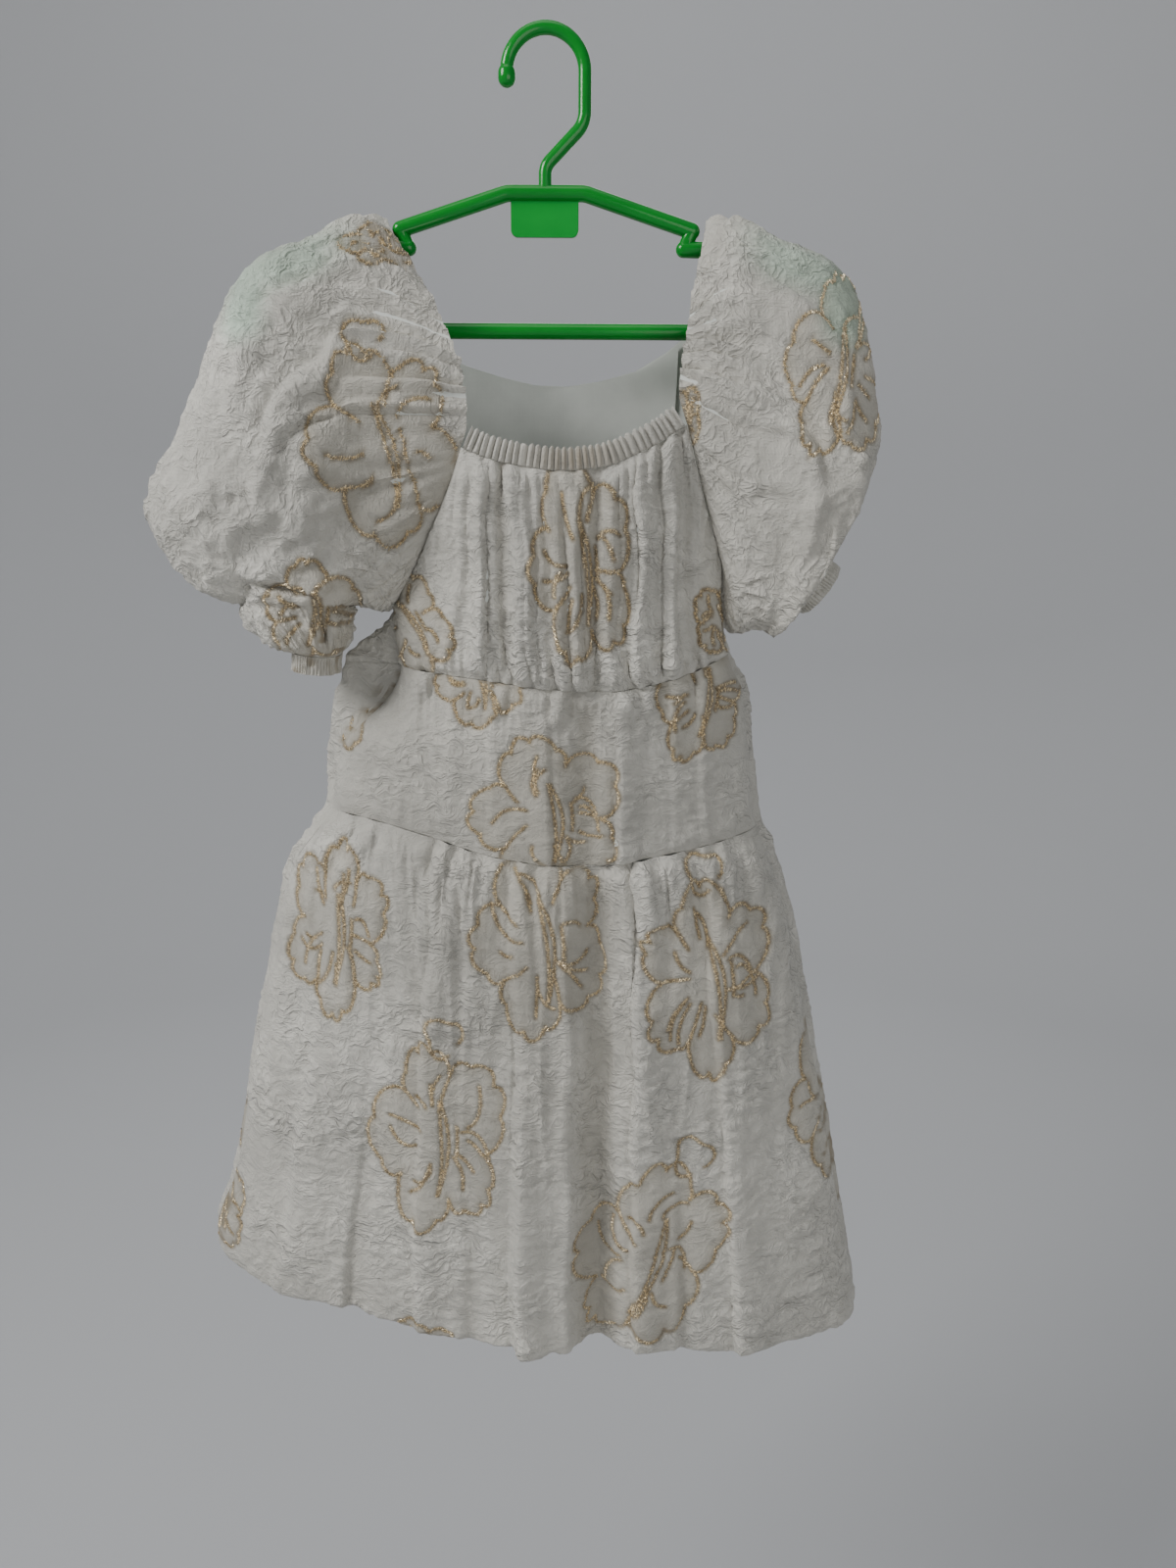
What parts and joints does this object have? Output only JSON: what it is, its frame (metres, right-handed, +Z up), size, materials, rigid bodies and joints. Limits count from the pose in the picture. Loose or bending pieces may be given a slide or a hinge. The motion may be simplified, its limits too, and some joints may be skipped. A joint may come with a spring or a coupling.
{
  "type": "party dress on a hanger",
  "caption": "Girl's tiered party dress with gathered puff sleeves and elastic square neck, hung on a child's plastic hanger.",
  "frame": {"origin": "top inside of the hook, where it rests on what holds it, in the middle of the hanger", "axes": "+X to the viewer's right, +Y to the back, +Z up; the front of the dress faces -Y"},
  "size_m": [0.4515, 0.1043, 0.8104],
  "materials": {
    "green_plastic": "glossy, a little see-through",
    "crepe": "crinkled off-white crepe with gold outline flowers",
    "crepe_sleeve": "crinkled off-white crepe with gold outline flowers",
    "crepe_tier": "crinkled off-white crepe with gold outline flowers",
    "crepe_band": "gathered off-white crepe",
    "lining": "plain smooth lining"
  },
  "bodies": {
    "root": {"hanger": "green_plastic", "front_bodice": "crepe", "back_bodice": "crepe", "back_lining": "lining", "front_neck_casing": "crepe_band", "left_sleeve": "crepe_sleeve", "right_sleeve": "crepe_sleeve", "left_cuff": "crepe_band", "right_cuff": "crepe_band", "middle_tier_front": "crepe_tier", "middle_tier_back": "crepe_tier", "skirt_front": "crepe", "skirt_back": "crepe"}
  },
  "joints": []
}
